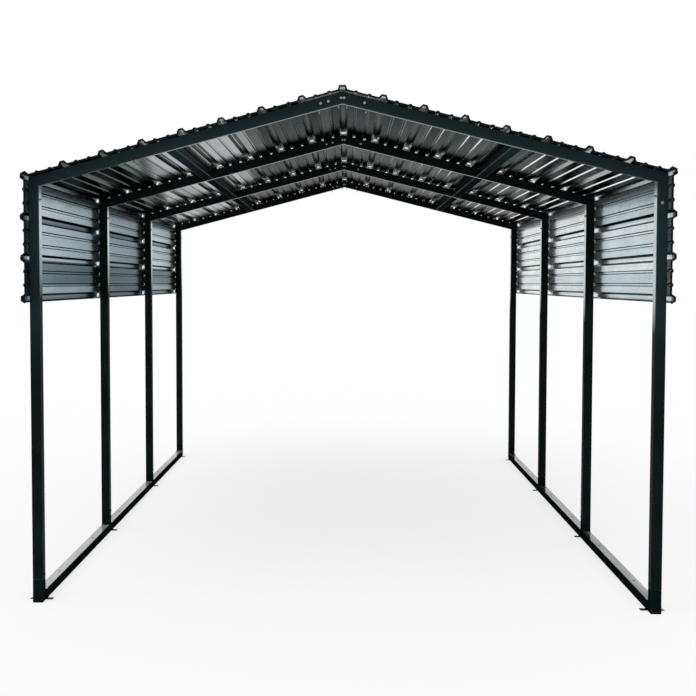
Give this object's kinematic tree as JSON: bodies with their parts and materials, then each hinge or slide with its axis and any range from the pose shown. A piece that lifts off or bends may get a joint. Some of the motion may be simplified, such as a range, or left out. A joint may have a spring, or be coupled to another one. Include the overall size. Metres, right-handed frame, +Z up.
{
  "type": "carport",
  "caption": "Open-ended gabled carport: square-tube bents on base rails under ribbed metal roof and partial side sheets.",
  "frame": {"origin": "on the ground, under the middle of the carport", "axes": "+X to the right seen from the front, +Y from the front to the back, +Z up"},
  "size_m": [3.1104, 4.7828, 2.507],
  "materials": {
    "frame": "semi-gloss near-black powder coat",
    "sheet": "bright galvanised sheet with a fine spangle"
  },
  "bodies": {
    "root": {"front_leg_left": "frame", "front_rafter_left": "frame", "front_base_rail_left": "frame", "second_leg_left": "frame", "second_rafter_left": "frame", "second_base_rail_left": "frame", "third_leg_left": "frame", "third_rafter_left": "frame", "third_base_rail_left": "frame", "rear_leg_left": "frame", "rear_rafter_left": "frame", "rear_base_rail_left": "frame", "eave_elbows_left": "frame", "anchor_straps_left": "frame", "front_leg_right": "frame", "front_rafter_right": "frame", "front_base_rail_right": "frame", "second_leg_right": "frame", "second_rafter_right": "frame", "second_base_rail_right": "frame", "third_leg_right": "frame", "third_rafter_right": "frame", "third_base_rail_right": "frame", "rear_leg_right": "frame", "rear_rafter_right": "frame", "rear_base_rail_right": "frame", "eave_elbows_right": "frame", "anchor_straps_right": "frame", "ridge_connectors": "frame", "purlins": "frame", "front_ridge_cap": "sheet", "front_upper_roof_sheets": "sheet", "front_lower_roof_sheets": "sheet", "front_eave_sheets": "sheet", "front_side_sheets": "sheet", "middle_ridge_cap": "sheet", "middle_upper_roof_sheets": "sheet", "middle_lower_roof_sheets": "sheet", "middle_eave_sheets": "sheet", "middle_side_sheets": "sheet", "rear_ridge_cap": "sheet", "rear_upper_roof_sheets": "sheet", "rear_lower_roof_sheets": "sheet", "rear_eave_sheets": "sheet", "rear_side_sheets": "sheet"}
  },
  "joints": []
}
